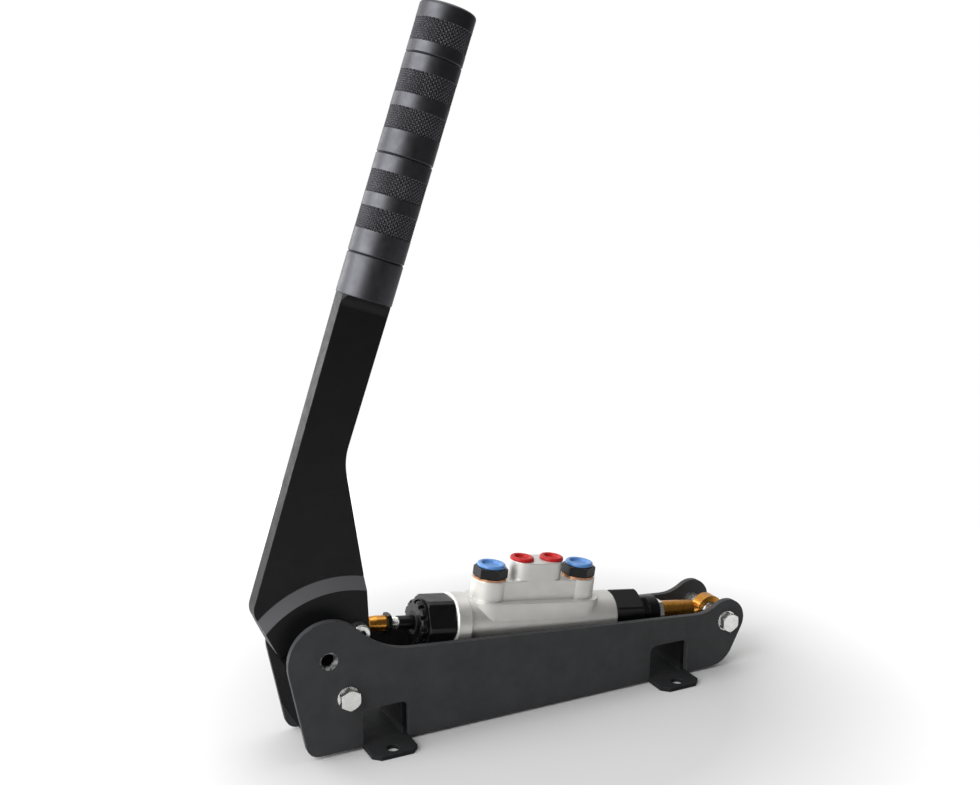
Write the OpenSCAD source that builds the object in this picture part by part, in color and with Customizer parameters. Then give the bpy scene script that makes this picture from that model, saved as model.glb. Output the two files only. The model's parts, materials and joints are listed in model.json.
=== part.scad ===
// Hydraulic hand brake: a tall pull lever that pushes a tandem master cylinder between two side plates.
// X runs to the rear, Y to the right and Z up.
// The origin is the middle of the four floor bolts, on the floor.

/* [Base] */
// Width over the two side plates
base_w = 50; // [46:0.5:60]
// Thickness of each side plate
plate_t = 4; // [3:0.5:5]
// Height of the plates' lower edge above the floor
plate_lift = 2; // [1:0.5:3]
// Fore and aft distance between floor bolts
foot_pitch_x = 221.5; // [205:0.5:235]
// Sideways distance between floor bolts
foot_pitch_y = 72.8; // [70:0.2:90]
// Diameter of the floor bolt holes
foot_hole_d = 9; // [6.5:0.5:10.5]
// Width of a floor bar
bar_w = 32; // [26:0.5:36]
// Thickness of a floor bar
bar_t = 3; // [2.5:0.5:5]
// Height of the floor bars' upright legs between the side plates
upstand_h = 28; // [20:0.5:30]
// Distance from a floor bolt to the tip of its foot
foot_tip = 8; // [7.5:0.5:14]
// Cut on the corners of a foot's tip
foot_chamfer = 5; // [2:0.5:8]
// Height of the windows over the floor bars
window_top = 28; // [22:0.5:31]
// Corner radius of the windows
window_r = 5.5; // [2:0.5:8]
// Thickness of the front cross plate
web_t = 4; // [3:0.5:5]
// Height of the cross plate's lower edge
web_low = 22.5; // [15:0.5:35]
// Height of the cross plate's upper edge, on which the lever's heel rests
web_high = 68; // [64:0.5:70]

/* [Plate outline] */
// Place of the front hump and its spare pin hole along the base
hump_x = -148.8; // [-152:0.1:-145]
// Height of the front hump's centre
hump_z = 66.5; // [62:0.1:70]
// Radius of the front hump
hump_r = 27; // [23:0.5:30]
// Radius of the tail round the rear bolt
tail_r = 15.9; // [13:0.1:18]
// Foremost point of the plates' lower front corner
front_x = -165.6; // [-170:0.1:-160]
// Radius of the lower front corner
front_corner_r = 9; // [4:0.5:12]
// Centre of the lower rear corner along the base
rear_corner_x = 148.9; // [144:0.1:154]
// Radius of the lower rear corner
rear_corner_r = 20; // [14:0.5:24]
// Height of the straight upper edge at the middle of the base
top_edge_z = 57; // [54:0.1:60]
// Fall of the straight upper edge towards the rear, degrees
top_fall = 5; // [3:0.1:6]
// Radius of the hollow behind the front hump
valley_r = 55; // [40:1:70]
// Radius of the hollow in front of the tail
tail_valley_r = 30; // [20:1:40]
// Diameter of the spare pin hole
spare_d = 9; // [6:0.5:10]
// Width of the spare pin hole's chamfer
spare_chamfer = 1.7; // [0.5:0.1:2.5]

/* [Pivots] */
// Place of the lever pivot along the base
pivot_x = -136.6; // [-140:0.1:-133]
// Height of the lever pivot
pivot_z = 39.4; // [37:0.1:42]
// Place of the rear bolt along the base
rear_x = 161; // [158:0.1:164]
// Height of the rear bolt
rear_z = 36.4; // [34:0.1:39]
// Distance from the lever pivot to the link bolt
link_r = 40.1; // [37:0.1:42]
// Lean of the link bolt from straight above the pivot, degrees
link_lean = 18.2; // [16:0.1:20]

/* [Lever] */
// Thickness of the lever's blade
blade_t = 12; // [10:0.5:14]
// Thickness of the lever's base
lever_base_t = 22; // [20:0.5:24]
// Radius of the thick base about the pivot
lever_base_r = 67.5; // [64:0.5:72]
// Width of the slope from the thick base down to the blade
base_slope = 8.5; // [6:0.5:12]
// Radius of the hub round the pivot
hub_r = 17.5; // [15:0.5:20]
// Width of the blade where it meets the shank
blade_top_w = 33.5; // [28:0.5:35]
// Radius of the corner at the heel
heel_r = 12; // [6:0.5:16]
// Radius of the hollow at the waist of the blade
waist_r = 40; // [15:1:60]
// Lean of the shank and grip, degrees
grip_lean = 19; // [17:0.1:21]
// How far the round shank reaches down over the blade
shoulder_drop = 2.5; // [1:0.1:5]
// Radius of the milled run-out from the shank's shoulder to the blade
scoop_r = 10; // [8:0.5:14]
// Room round the front rod end's eye in the lever's fork
fork_room = 2; // [1.5:0.1:3]
// Rest gap between the lever's heel and the cross plate
stop_gap = 0.2; // [0.1:0.05:0.5]

/* [Grip] */
// Diameter of the grip and of the lever's shank
grip_d = 36.5; // [34:0.5:40]
// Length of the round shank below the grip
shank_l = 24; // [18:0.5:35]
// Length of one grip sleeve
sleeve_l = 63.5; // [50:0.5:80]
// Length of the grip's end cap
end_cap_l = 33; // [24:0.5:44]
// Diameter of the core inside the sleeves
core_d = 22; // [18:0.5:26]
// Bevel on the grip's joints
joint_bevel = 0.8; // [0.4:0.1:1.5]
// Radius of the end cap's top edge
cap_round = 2.5; // [1.5:0.5:8]

/* [Cylinder] */
// Radius of the cylinder body
body_r = 17; // [15.5:0.5:18]
// Length of the cylinder body
body_l = 128.8; // [124:0.1:133]
// Radius of the flange at the body's front
flange_r = 19.5; // [18.5:0.5:20]
// Length of the flange at the body's front
flange_l = 11.5; // [8:0.5:14]
// Diameter of the cylinder bore
bore_d = 19; // [17:0.5:21]
// Distance between neighbouring ports
port_pitch = 23.5; // [22:0.1:25]
// Height of the port block's foot above the axis
foot_tier_h = 16; // [14:0.5:18]
// Height of the inlet bosses above the axis
boss_h = 30; // [27:0.5:32]
// Radius of the inlet bosses
boss_r = 12.5; // [12:0.5:14]
// Height of the outlet tier above the axis
tier_h = 42.5; // [39:0.5:46]
// Length of the outlet tier
tier_l = 39; // [36:0.5:42]
// Width of the outlet tier
tier_w = 21; // [19:0.5:24]
// Across flats of the gland nut
gland_af = 34; // [32:0.5:35]
// Length of the gland nut
gland_l = 20.2; // [16:0.1:22]
// Diameter of the lock ring
ring_d = 31; // [28:0.5:33]
// Length of the lock ring
ring_l = 5; // [4.5:0.1:8]
// Notches round the lock ring
ring_notches = 12; // [8:1:16]
// Across flats of the rear cap
cap_af = 31.5; // [29:0.5:33]
// Length of the rear cap
cap_l = 22.3; // [18:0.1:25]
// Diameter of the neck behind the cap
neck_d = 24.5; // [22:0.5:27]
// Length of the neck
neck_l = 18.2; // [16:0.1:22]

/* [Link and rod ends] */
// Diameter of the pushrod
pushrod_d = 9.5; // [9:0.1:11]
// Bare thread between the front jam nut and the pushrod
stud_show = 5.7; // [3:0.1:7]
// Distance from the link bolt to the front jam nut
front_end_l = 23.5; // [21:0.1:25]
// Distance from the rear bolt to the rear jam nut
rear_end_l = 44.5; // [42:0.1:48]
// Radius of a rod end's eye
eye_r = 11.5; // [11:0.1:13]
// Width of a rod end's eye
eye_w = 9; // [8:0.5:10]
// Radius of a rod end's ball
ball_r = 8; // [7.5:0.1:8.5]
// Width of a rod end's ball
ball_w = 12; // [10.5:0.1:13]
// Diameter of the front rod end's neck
front_neck_d = 11; // [10.5:0.1:13]
// Diameter of the rear rod end's neck
rear_neck_d = 15; // [13:0.1:17]

/* [Fasteners] */
// Thread diameter of the pivot, rear and link bolts and of the pushrod's stud
bolt_d = 8; // [6:0.5:8.5]
// Across flats of the hexagon heads and nuts
bolt_af = 13; // [12.5:0.5:15]
// Height of a bolt head
head_h = 5.3; // [4:0.1:6]
// Diameter of the link bolt's socket head, which is as high as its thread is wide
screw_head_d = 13; // [12:0.5:14]
// Across flats of the link bolt's socket
socket_af = 6; // [5:0.5:7]
// Height of a locking nut
nut_h = 8; // [6.5:0.1:9]
// Height of a thin nut
thin_nut_h = 3.2; // [2.5:0.1:5]
// Outer diameter of a washer
washer_d = 15; // [14:0.5:18]
// Thickness of a washer
washer_t = 1.2; // [0.8:0.1:2]
// Thread diameter of the rear stud and the grip's stud
rear_stud_d = 10; // [8:0.5:10.5]
// Across flats of the rear jam nut
rear_jam_af = 17; // [15:0.5:19]
// Height of the rear jam nut
rear_jam_h = 5; // [4:0.1:6]
// Outer diameter of the pivot sleeve
sleeve_d = 11; // [10.5:0.1:12]
// Wall of a pivot bush
bush_wall = 2; // [1.5:0.1:2.5]
// Thickness of a pivot bush's flange
bush_flange_t = 1; // [0.8:0.1:1.5]
// Outer diameter of the pivot and rear spacers
spacer_d = 16; // [15:0.5:18]

/* [Ports] */
// Across flats of an inlet adaptor
adaptor_af = 21; // [19:0.5:22]
// Height of an inlet adaptor
adaptor_h = 7; // [5:0.5:9]
// Thickness of a copper sealing washer
seal_washer_t = 1.2; // [0.8:0.1:2]
// Diameter of an inlet plug's head
inlet_plug_d = 20; // [17:0.5:21]
// Diameter of an outlet plug's head
outlet_plug_d = 17; // [15:0.5:18]
// Height of a shipping plug's head
plug_h = 2.6; // [1.5:0.1:4]
// Thread diameter of the ports
port_d = 12; // [10:0.5:13]

/* [Clearances] */
// Radial clearance of a bolt, stud or spigot in its hole
hole_play = 0.05; // [0.02:0.01:0.2]
// Radial clearance of a running fit
run_play = 0.04; // [0.02:0.01:0.08]
// Clearance of the front rod end on its ball, where the linkage's loop is open
loop_play = 0.75; // [0.7:0.05:0.9]
// Side clearance between the lever and the pivot spacers
side_play = 0.2; // [0.1:0.05:0.5]

/* [Hidden] */
$fn = 96;

// Colours
black_paint = [0.2, 0.2, 0.21];
black_anodised = [0.16, 0.16, 0.17];
zinc = [0.78, 0.78, 0.76];
gold = [0.75, 0.55, 0.25];
bright_alloy = [0.77, 0.77, 0.75];
copper = [0.8, 0.5, 0.35];
bronze = [0.7, 0.55, 0.3];
rubber_black = [0.08, 0.08, 0.08];
plug_blue = [0.25, 0.5, 0.85];
plug_red = [0.85, 0.22, 0.22];

// Side faces of the plates
inner_y = base_w / 2 - plate_t;
outer_y = base_w / 2;
window_play = 0.1;
rear_spacer_wall = 2.2;

// Points on the plates' outline, as [x, z]
hump_c = [hump_x, hump_z];
tail_c = [rear_x, rear_z];
front_c = [front_x + front_corner_r, plate_lift + front_corner_r];
rear_c = [rear_corner_x, plate_lift + rear_corner_r];
front_tangent = outer_tangent(front_c, front_corner_r, hump_c, hump_r, 1);
rear_tangent = outer_tangent(tail_c, tail_r, rear_c, rear_corner_r, 1);
top_dir = [cos(top_fall), -sin(top_fall)];
top_normal = [sin(top_fall), cos(top_fall)];
valley_c = valley_centre(hump_c, hump_r, valley_r, 1);
tail_valley_c = valley_centre(tail_c, tail_r, tail_valley_r, -1);

// Front cross plate, flush with the plates' front edges
front_dir = unit(front_tangent[1] - front_tangent[0]);
front_in = [front_dir[1], -front_dir[0]];

// Lever, as [x, z] about the pivot
pivot_c = [pivot_x, pivot_z];
link_c = link_r * [sin(link_lean), cos(link_lean)];
heel_corner = [-55, 60.6];
stop_corner = [-41.5, 32];
waist = [8.8, 152.6];
right_low = [19.7, 74.6];
right_foot = [20.9, link_c[1]];
shank_c = [27.7, 256.6];
top_left = shank_point(-blade_top_w / 2, 0);
top_right = shank_point(blade_top_w / 2, 0);
fork_w = ball_w + 2 * hole_play;
fork_r = eye_r + fork_room;
web_room = 1;

// Grip, along the shank's axis from the blade's end
core_end = shank_l + 2 * sleeve_l - 1;
sleeve_bore_r = core_d / 2 + hole_play;
grip_stud_depth = 20;
grip_stud_reach = 16;

// Cylinder axis: the rear bolt is its origin and the local X axis runs to the rear
link_abs = pivot_c + link_c;
link_to_rear = tail_c - link_abs;
axis_l = norm(link_to_rear);
axis_fall = atan2(-link_to_rear[1], link_to_rear[0]);
u_rear_nut = -rear_end_l;
u_neck_end = u_rear_nut - rear_jam_h;
u_cap_end = u_neck_end - neck_l;
u_body_end = u_cap_end - cap_l;
u_body = u_body_end - body_l;
u_gland = u_body - gland_l;
u_ring = u_gland - ring_l;
u_link = -axis_l;
u_front_nut = u_link + front_end_l;
u_stud = u_front_nut + thin_nut_h;
u_rod = u_stud + stud_show;
u_ports = u_body_end - body_l / 2;
inlet_u = [u_ports - 1.5 * port_pitch, u_ports + 1.5 * port_pitch];
outlet_u = [u_ports - 0.5 * port_pitch, u_ports + 0.5 * port_pitch];

// Inside the cylinder
bore_r = bore_d / 2;
piston_r = bore_r - run_play;
gland_spigot_r = bore_r + 3.5;
gland_spigot_l = 10;
cap_spigot_l = 10;
cap_spigot_r = bore_r - hole_play;
u_cap_groove = u_body_end - 6;
primary_l = 35;
secondary_l = 32;
u_primary = u_body + gland_spigot_l + 0.1;
u_primary_end = u_primary + primary_l;
u_spring_2_end = u_body_end - cap_spigot_l;
spring_room = u_spring_2_end - u_primary_end - secondary_l;
spring_l = spring_room / 2;
u_secondary = u_primary_end + spring_l;
u_secondary_end = u_secondary + secondary_l;
spring_wire_r = 0.8;
spring_coil_r = bore_r - 3;
spring_turns = 3.5;
spring_end_play = 0.1;
rod_r = pushrod_d / 2;
rod_room = 0.6;
rod_tip_depth = 14;
groove_w = 4;
groove_depth = 2;
seal_inset = 5;
wiper_l = 3;
wiper_r = rod_r + 3;
stud_r = bolt_d / 2;
stud_in_eye = 10;
stud_in_rod = 14;
rear_stud_r = rear_stud_d / 2;
rear_stud_in_neck = 12;
rear_stud_in_eye = 20;
neck_spigot_r = 6;
neck_spigot_l = 9;
port_r = port_d / 2;
port_depth = 9;
feed_r = 1.5;
plug_stem_l = 6;
adaptor_bore_r = port_r - 1.5;

// Unit vector of v
function unit(v) = v / norm(v);

// Ends of the outer tangent of two circles, on the left (side 1) or right (side -1) of the way from a to b
function outer_tangent(a, ra, b, rb, side) =
  let (d = b - a, n = atan2(d[1], d[0]) + side * acos((ra - rb) / norm(d)))
  [a + ra * [cos(n), sin(n)], b + rb * [cos(n), sin(n)]];

// Centre of the hollow of radius r that joins the plates' upper edge to a hump; side 1 lies behind the hump
function valley_centre(hump, hump_radius, r, side) =
  let (q = [0, top_edge_z] + r * top_normal - hump,
       along = q * top_dir,
       reach = hump_radius + r)
  hump + q + (side * sqrt(along * along - q * q + reach * reach) - along) * top_dir;

// Point on the front edge of the plates at height z
function front_edge(z) = front_tangent[0] + front_dir * ((z - front_tangent[0][1]) / front_dir[1]);

// Point beside the shank's axis: across towards the rear, along towards the grip
function shank_point(across, along) =
  shank_c + across * [cos(grip_lean), -sin(grip_lean)] + along * [sin(grip_lean), cos(grip_lean)];

// Round at corner v between its neighbours u and w: the two tangent points and the centre
function corner_turn(u, v, w) = acos(unit(v - u) * unit(w - v));
function corner_in(u, v, w, r) = v - unit(v - u) * r * tan(corner_turn(u, v, w) / 2);
function corner_out(u, v, w, r) = v + unit(w - v) * r * tan(corner_turn(u, v, w) / 2);
function corner_centre(u, v, w, r) =
  v + unit(unit(u - v) + unit(w - v)) * r / cos(corner_turn(u, v, w) / 2);

// Slab of an [x, z] outline between two side planes
module slab(y0, y1) {
  translate([0, y1, 0]) rotate([90, 0, 0]) linear_extrude(y1 - y0) children();
}

// Round bar across the base between two side planes
module cross_bar(r, y0, y1) {
  translate([0, y0, 0]) rotate([-90, 0, 0]) cylinder(r = r, h = y1 - y0);
}

// Ring across the base between two side planes
module cross_ring(r_out, r_in, y0, y1) {
  difference() {
    cross_bar(r_out, y0, y1);
    cross_bar(r_in, y0 - 1, y1 + 1);
  }
}

// Hexagon bar along Z with its corners turned off at the far end
module hex_bar(af, h) {
  corner = af / sqrt(3);
  bevel = corner - af / 2;
  intersection() {
    rotate([0, 0, 30]) cylinder(r = corner, h = h, $fn = 6);
    rotate_extrude() polygon([
      [0, 0], [corner + 1, 0], [corner + 1, h - bevel], [corner, h - bevel / 2], [corner - bevel, h], [0, h]
    ]);
  }
}

// Hexagon nut along Z
module hex_nut(af, bore, h) {
  difference() {
    hex_bar(af, h);
    translate([0, 0, -1]) cylinder(r = bore, h = h + 2);
  }
}

// Hexagon bolt across the base: head seated at y_head on the left, thread ending at y_end
module cross_bolt(y_head, y_end) {
  translate([0, y_head, 0]) rotate([90, 0, 0]) hex_bar(bolt_af, head_h);
  cross_bar(bolt_d / 2, y_head, y_end);
}

// Nut across the base, seated at y0 on its left side
module cross_nut(y0, h) {
  translate([0, y0, 0]) rotate([-90, 0, 0]) hex_nut(bolt_af, bolt_d / 2 + hole_play, h);
}

// Placement at the lever pivot, the link bolt, the rear bolt, the shank and on the cylinder's axis
module at_pivot() translate([pivot_x, 0, pivot_z]) children();
module at_link() translate([link_abs[0], 0, link_abs[1]]) children();
module at_rear() translate([rear_x, 0, rear_z]) children();
module at_shank() at_pivot() translate([shank_c[0], 0, shank_c[1]]) rotate([0, grip_lean, 0]) children();
module on_axis() at_rear() rotate([0, axis_fall, 0]) children();

// Turned piece on the cylinder's axis: points are [radius, distance along the axis]
module turned(points) {
  rotate([0, 90, 0]) rotate_extrude() polygon(points);
}

// Round rod along the cylinder's axis
module rod(r, u0, u1) {
  translate([u0, 0, 0]) rotate([0, 90, 0]) cylinder(r = r, h = u1 - u0);
}

// Upright at place u on the cylinder's axis
module upright(u, w) translate([u, 0, w]) children();

// Outline of a side plate
module plate_outline() {
  valley_foot = valley_c - valley_r * top_normal;
  valley_head = hump_c + hump_r * unit(valley_c - hump_c);
  tail_foot = tail_valley_c - tail_valley_r * top_normal;
  tail_head = tail_c + tail_r * unit(tail_valley_c - tail_c);
  difference() {
    union() {
      translate(hump_c) circle(r = hump_r);
      translate(tail_c) circle(r = tail_r);
      translate(front_c) circle(r = front_corner_r);
      translate(rear_c) circle(r = rear_corner_r);
      polygon([
        front_tangent[0], [front_c[0], plate_lift], [rear_c[0], plate_lift], rear_tangent[1], rear_tangent[0],
        tail_c, tail_head, tail_foot, valley_foot, valley_head, hump_c, front_tangent[1]
      ]);
    }
    translate(valley_c) circle(r = valley_r);
    translate(tail_valley_c) circle(r = tail_valley_r);
    for (x = [-1, 1] * foot_pitch_x / 2) translate([x, 0]) window_outline();
  }
}

// Window over a floor bar, open at the plate's lower edge
module window_outline() {
  w = bar_w + 2 * window_play;
  translate([-w / 2, -1]) square([w, window_top - window_r + 1]);
  translate([-w / 2 + window_r, -1]) square([w - 2 * window_r, window_top + 1]);
  for (x = [-1, 1] * (w / 2 - window_r)) translate([x, window_top - window_r]) circle(r = window_r);
}

// Side plate between two side planes, with its pivot, rear and spare pin holes
module side_plate(y0, y1) {
  mid = (y0 + y1) / 2;
  out = sign(mid);
  difference() {
    slab(y0, y1) plate_outline();
    at_pivot() cross_bar(bolt_d / 2 + hole_play, y0 - 1, y1 + 1);
    at_rear() cross_bar(bolt_d / 2 + hole_play, y0 - 1, y1 + 1);
    translate([hump_x, 0, hump_z]) {
      cross_bar(spare_d / 2, y0 - 1, y1 + 1);
      translate([0, out * outer_y, 0]) rotate([out * 90, 0, 0])
        cylinder(r1 = spare_d / 2 + spare_chamfer, r2 = spare_d / 2, h = spare_chamfer);
    }
  }
}

module left_side_plate() color(black_paint) side_plate(-outer_y, -inner_y);

module right_side_plate() color(black_paint) side_plate(inner_y, outer_y);

module front_cross_plate() {
  low = front_edge(web_low);
  high = front_edge(web_high);
  color(black_paint) slab(-inner_y, inner_y)
    polygon([low, high, high + front_in * web_t, low + front_in * web_t]);
}

// Floor bar: an angle whose flat leg passes through the windows and ends in two feet
module floor_bar(x) {
  half = foot_pitch_y / 2 + foot_tip;
  color(black_paint) translate([x, 0, 0]) {
    difference() {
      linear_extrude(bar_t) polygon([
        for (s = [1, -1]) each [
          [s * bar_w / 2, -s * (half - foot_chamfer)], [s * bar_w / 2, s * (half - foot_chamfer)],
          [s * (bar_w / 2 - foot_chamfer), s * half], [-s * (bar_w / 2 - foot_chamfer), s * half]
        ]
      ]);
      for (y = [-1, 1] * foot_pitch_y / 2) translate([0, y, -1]) cylinder(d = foot_hole_d, h = bar_t + 2);
    }
    translate([bar_w / 2 - bar_t, -inner_y, 0]) cube([bar_t, 2 * inner_y, upstand_h]);
  }
}

module front_floor_bar() floor_bar(-foot_pitch_x / 2);

module rear_floor_bar() floor_bar(foot_pitch_x / 2);

// Bolt, washers and nut through both side plates
module plate_bolt() color(zinc) cross_bolt(-outer_y - washer_t, outer_y + washer_t + nut_h + 1);

module plate_nut() color(zinc) cross_nut(outer_y + washer_t, nut_h);

module plate_washers() {
  color(zinc) for (y = [-outer_y - washer_t, outer_y])
    cross_ring(washer_d / 2, bolt_d / 2 + hole_play, y, y + washer_t);
}

module pivot_bolt() at_pivot() plate_bolt();

module pivot_nut() at_pivot() plate_nut();

module pivot_washers() at_pivot() plate_washers();

module pivot_sleeve() {
  color(zinc) at_pivot() cross_ring(sleeve_d / 2, bolt_d / 2 + hole_play, -inner_y, inner_y);
}

// Spacers between the bush flanges and the plates
module pivot_spacers() {
  lever_side = lever_base_t / 2 + bush_flange_t + side_play;
  color(zinc) at_pivot() for (y = [-inner_y, lever_side])
    cross_ring(spacer_d / 2, sleeve_d / 2 + hole_play, y, y + inner_y - lever_side);
}

module rear_bolt() at_rear() plate_bolt();

module rear_nut() at_rear() plate_nut();

module rear_washers() at_rear() plate_washers();

// Spacers that centre the rear ball between the plates
module rear_spacers() {
  color(zinc) at_rear() for (y = [-inner_y, ball_w / 2])
    cross_ring(bolt_d / 2 + rear_spacer_wall, bolt_d / 2 + hole_play, y, y + inner_y - ball_w / 2);
}

// Ball of a rod end, bored for its bolt
module bored_ball() {
  color(zinc) difference() {
    intersection() {
      rotate([90, 0, 0]) sphere(r = ball_r);
      cross_bar(ball_r + 1, -ball_w / 2, ball_w / 2);
    }
    cross_bar(bolt_d / 2 + hole_play, -ball_w, ball_w);
  }
}

module rear_ball() at_rear() bored_ball();

module front_ball() at_link() bored_ball();

// Outline of the lever about its pivot
module lever_outline() {
  heel_in = corner_in(top_left, heel_corner, stop_corner, heel_r);
  heel_out = corner_out(top_left, heel_corner, stop_corner, heel_r);
  waist_in = corner_in(top_right, waist, right_low, waist_r);
  waist_out = corner_out(top_right, waist, right_low, waist_r);
  web_top = front_edge(web_high) - pivot_c + front_dir * stop_gap;
  web_back = web_top + front_in * (web_t + web_room);
  difference() {
    union() {
      circle(r = hub_r);
      translate(corner_centre(top_left, heel_corner, stop_corner, heel_r)) circle(r = heel_r);
      polygon([
        top_left, heel_in, heel_out, stop_corner, [-hub_r, 0], [hub_r, 0],
        right_foot, right_low, waist_out, waist_in, top_right
      ]);
    }
    translate(corner_centre(top_right, waist, right_low, waist_r)) circle(r = waist_r);
    polygon([
      web_top - front_in * heel_r, web_back, web_back - front_dir * hub_r * 3,
      web_top - front_in * heel_r - front_dir * hub_r * 3
    ]);
  }
}

// Thick base of the lever: a disc about the pivot whose rim slopes down to the blade
module base_disc() {
  half = lever_base_t / 2;
  foot_r = lever_base_r + base_slope;
  rotate([90, 0, 0]) rotate_extrude() polygon([
    [0, -half], [lever_base_r, -half], [foot_r, -blade_t / 2],
    [foot_r, blade_t / 2], [lever_base_r, half], [0, half]
  ]);
}

// Round shank, from its shoulder over the blade to the end of the core inside the sleeves
module shank() {
  difference() {
    union() {
      translate([0, 0, -shoulder_drop]) cylinder(d = grip_d, h = shoulder_drop + shank_l - joint_bevel);
      translate([0, 0, shank_l - joint_bevel])
        cylinder(d1 = grip_d, d2 = grip_d - 2 * joint_bevel, h = joint_bevel);
      cylinder(d = core_d, h = core_end);
    }
    translate([0, 0, core_end - grip_stud_depth])
      cylinder(r = rear_stud_r + hole_play, h = grip_stud_depth + 1);
  }
}

// Run-outs milled from the shank's shoulder down to both faces of the blade
module run_outs() {
  inset = 0.5;
  rise = 1.5;
  bite = 0.05;
  foot = shoulder_drop + scoop_r - rise;
  scoop_y = blade_t / 2 + scoop_r - bite;
  intersection() {
    at_shank() difference() {
      translate([0, 0, -foot]) cylinder(d = grip_d - 2 * inset, h = scoop_r);
      for (flip = [0, 1]) mirror([0, flip, 0]) {
        translate([0, scoop_y, -foot]) rotate([0, 90, 0])
          cylinder(r = scoop_r, h = 2 * grip_d, center = true);
        translate([-grip_d, scoop_y, -foot - 1]) cube([2 * grip_d, grip_d, scoop_r + 1]);
      }
    }
    at_pivot() slab(-grip_d, grip_d) lever_outline();
  }
}

module lever() {
  half = lever_base_t / 2;
  color(black_anodised) difference() {
    union() {
      at_pivot() slab(-blade_t / 2, blade_t / 2) lever_outline();
      at_pivot() intersection() {
        slab(-half, half) lever_outline();
        base_disc();
      }
      at_shank() shank();
      run_outs();
    }
    at_pivot() cross_bar(sleeve_d / 2 + run_play + bush_wall, -half - 1, half + 1);
    at_link() {
      cross_bar(bolt_d / 2 + hole_play, -half - 1, half + 1);
      cross_bar(fork_r, -fork_w / 2, fork_w / 2);
      translate([0, -fork_w / 2, -fork_r]) cube([2 * fork_r, fork_w, 2 * fork_r]);
    }
  }
}

// Flanged bushes pressed into the lever from both sides
module pivot_bushes() {
  r_in = sleeve_d / 2 + run_play;
  half = lever_base_t / 2;
  bush_l = half - 2;
  color(bronze) at_pivot() for (flip = [0, 1]) mirror([0, flip, 0]) {
    cross_ring(r_in + bush_wall, r_in, half - bush_l, half);
    cross_ring(spacer_d / 2, r_in, half, half + bush_flange_t);
  }
}

// Grip sleeve on the core, from distance s along the shank
module grip_sleeve(s) {
  r = grip_d / 2;
  color(black_anodised) at_shank() translate([0, 0, s]) rotate_extrude() polygon([
    [sleeve_bore_r, 0], [r - joint_bevel, 0], [r, joint_bevel],
    [r, sleeve_l - joint_bevel], [r - joint_bevel, sleeve_l], [sleeve_bore_r, sleeve_l]
  ]);
}

module lower_grip_sleeve() grip_sleeve(shank_l);

module upper_grip_sleeve() grip_sleeve(shank_l + sleeve_l);

module grip_end_cap() {
  r = grip_d / 2;
  color(black_anodised) at_shank() translate([0, 0, shank_l + 2 * sleeve_l]) difference() {
    rotate_extrude() {
      polygon([
        [0, 0], [r - joint_bevel, 0], [r, joint_bevel], [r, end_cap_l - cap_round],
        [r - cap_round, end_cap_l], [0, end_cap_l]
      ]);
      intersection() {
        translate([r - cap_round, end_cap_l - cap_round]) circle(r = cap_round);
        translate([0, end_cap_l - cap_round]) square([r + 1, cap_round]);
      }
    }
    translate([0, 0, -1]) cylinder(r = rear_stud_r + hole_play, h = grip_stud_reach + 1);
  }
}

// Stud that screws the end cap down on the sleeves
module grip_stud() {
  low = core_end - grip_stud_depth + 1;
  color(zinc) at_shank() translate([0, 0, low])
    cylinder(r = rear_stud_r, h = shank_l + 2 * sleeve_l + grip_stud_reach - 1 - low);
}

// Socket head screw through the lever's fork and the front ball
module link_bolt() {
  half = lever_base_t / 2;
  head_r = screw_head_d / 2;
  edge = 0.8;
  color(zinc) at_link() difference() {
    union() {
      translate([0, -half, 0]) rotate([90, 0, 0]) rotate_extrude() polygon([
        [0, 0], [head_r, 0], [head_r, bolt_d - edge], [head_r - edge, bolt_d], [0, bolt_d]
      ]);
      cross_bar(bolt_d / 2, -half, half + thin_nut_h + 1);
    }
    translate([0, -half - bolt_d - 1, 0]) rotate([-90, 0, 0])
      cylinder(r = socket_af / sqrt(3), h = bolt_d / 2 + 1, $fn = 6);
  }
}

module link_nut() color(zinc) at_link() cross_nut(lever_base_t / 2, thin_nut_h);

// Rod end at the local origin: an eye round its ball and a neck that swells towards positive X
module rod_end(neck_r, neck_end, race_r, hole_r, hole_l) {
  root = eye_r - 2;
  taper_end = eye_r + 5;
  difference() {
    union() {
      cross_bar(eye_r, -eye_w / 2, eye_w / 2);
      turned([[0, root], [eye_w / 2, root], [neck_r, taper_end], [neck_r, neck_end], [0, neck_end]]);
    }
    rotate([90, 0, 0]) sphere(r = race_r);
    rod(hole_r, neck_end - hole_l, neck_end + 1);
  }
}

module front_rod_end() {
  color(gold) on_axis() translate([u_link, 0, 0])
    rod_end(front_neck_d / 2, front_end_l, ball_r + loop_play, stud_r + hole_play, stud_in_eye + 1);
}

module rear_rod_end() {
  color(gold) on_axis() rotate([0, 180, 0])
    rod_end(rear_neck_d / 2, rear_end_l, ball_r + run_play, rear_stud_r + hole_play, rear_stud_in_eye + 1);
}

module front_jam_nut() {
  color(black_anodised) on_axis() translate([u_front_nut, 0, 0]) rotate([0, 90, 0])
    hex_nut(bolt_af, stud_r + hole_play, thin_nut_h);
}

module pushrod_stud() color(zinc) on_axis() rod(stud_r, u_front_nut - stud_in_eye, u_rod + stud_in_rod);

// Pushrod from its stud to its round tip in the primary piston
module pushrod() {
  tip = u_primary + rod_tip_depth;
  color(black_anodised) on_axis() difference() {
    union() {
      rod(rod_r, u_rod, tip - rod_r);
      translate([tip - rod_r, 0, 0]) sphere(r = rod_r);
    }
    rod(stud_r + hole_play, u_rod - 1, u_rod + stud_in_rod + 1);
  }
}

// Piston with a seal groove near each end
module piston(u0, length) {
  groove_r = piston_r - groove_depth;
  difference() {
    rod(piston_r, u0, u0 + length);
    for (u = seal_places(u0, length)) difference() {
      rod(piston_r + 1, u, u + groove_w);
      rod(groove_r, u, u + groove_w);
    }
  }
}

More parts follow.
